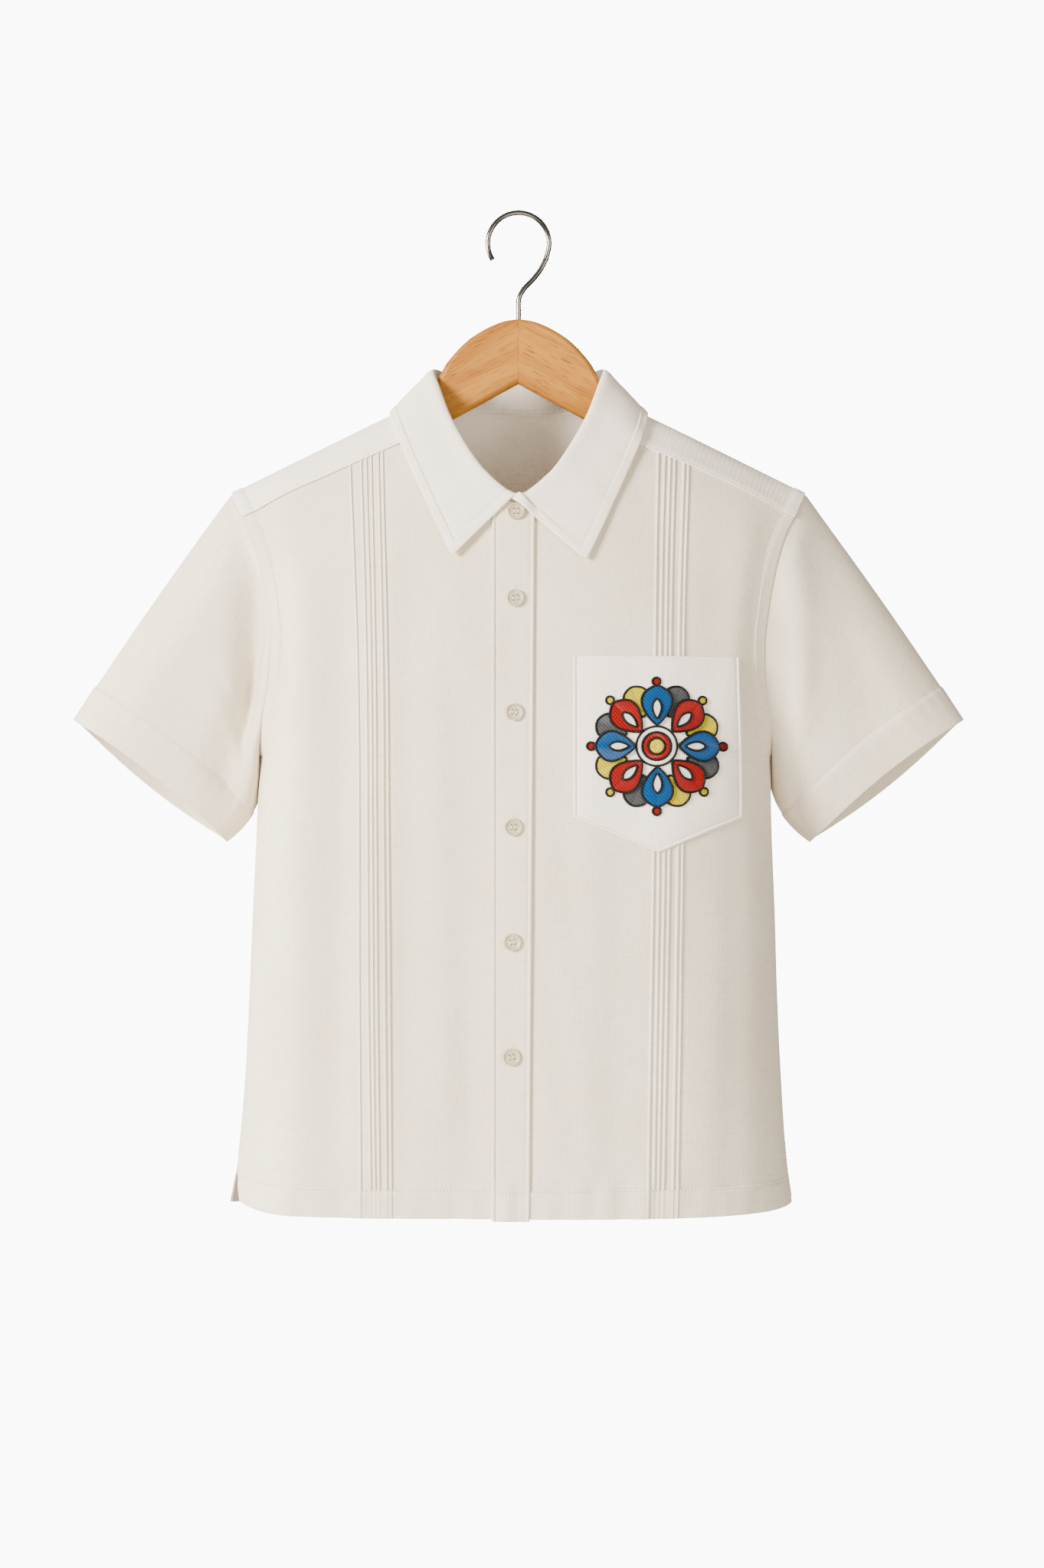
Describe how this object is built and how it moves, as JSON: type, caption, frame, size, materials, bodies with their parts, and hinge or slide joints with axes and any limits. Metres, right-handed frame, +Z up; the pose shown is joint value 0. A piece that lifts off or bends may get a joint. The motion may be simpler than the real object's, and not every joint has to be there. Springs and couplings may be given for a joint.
{
  "type": "barong tagalog shirt on a hanger",
  "caption": "Short-sleeved barong tagalog shirt with a pointed collar, button placket, pintucked fronts and a patch pocket, hanging on a wooden hanger by its steel hook.",
  "frame": {"origin": "the underside of the crown of the hanger's hook, where a rail carries it", "axes": "+X to the wearer's left, -Y out of the shirt's front, +Z up along the hook's shank"},
  "size_m": [0.719, 0.2165, 0.8027],
  "materials": {
    "cloth": "matt plain weave, off-white",
    "buttons": "cream, soft gloss",
    "beech": "satin clear lacquer",
    "steel": "polished wire"
  },
  "bodies": {
    "root": {"front_right": "cloth", "front_left": "cloth", "placket": "cloth", "back": "cloth", "yoke": "cloth", "sleeve_right": "cloth", "sleeve_left": "cloth", "collar_stand": "cloth", "collar": "cloth", "pocket": "cloth", "button_1": "buttons", "button_2": "buttons", "button_3": "buttons", "button_4": "buttons", "button_5": "buttons", "button_6": "buttons", "hanger_left": "beech", "hanger_right": "beech", "hook": "steel"}
  },
  "joints": []
}
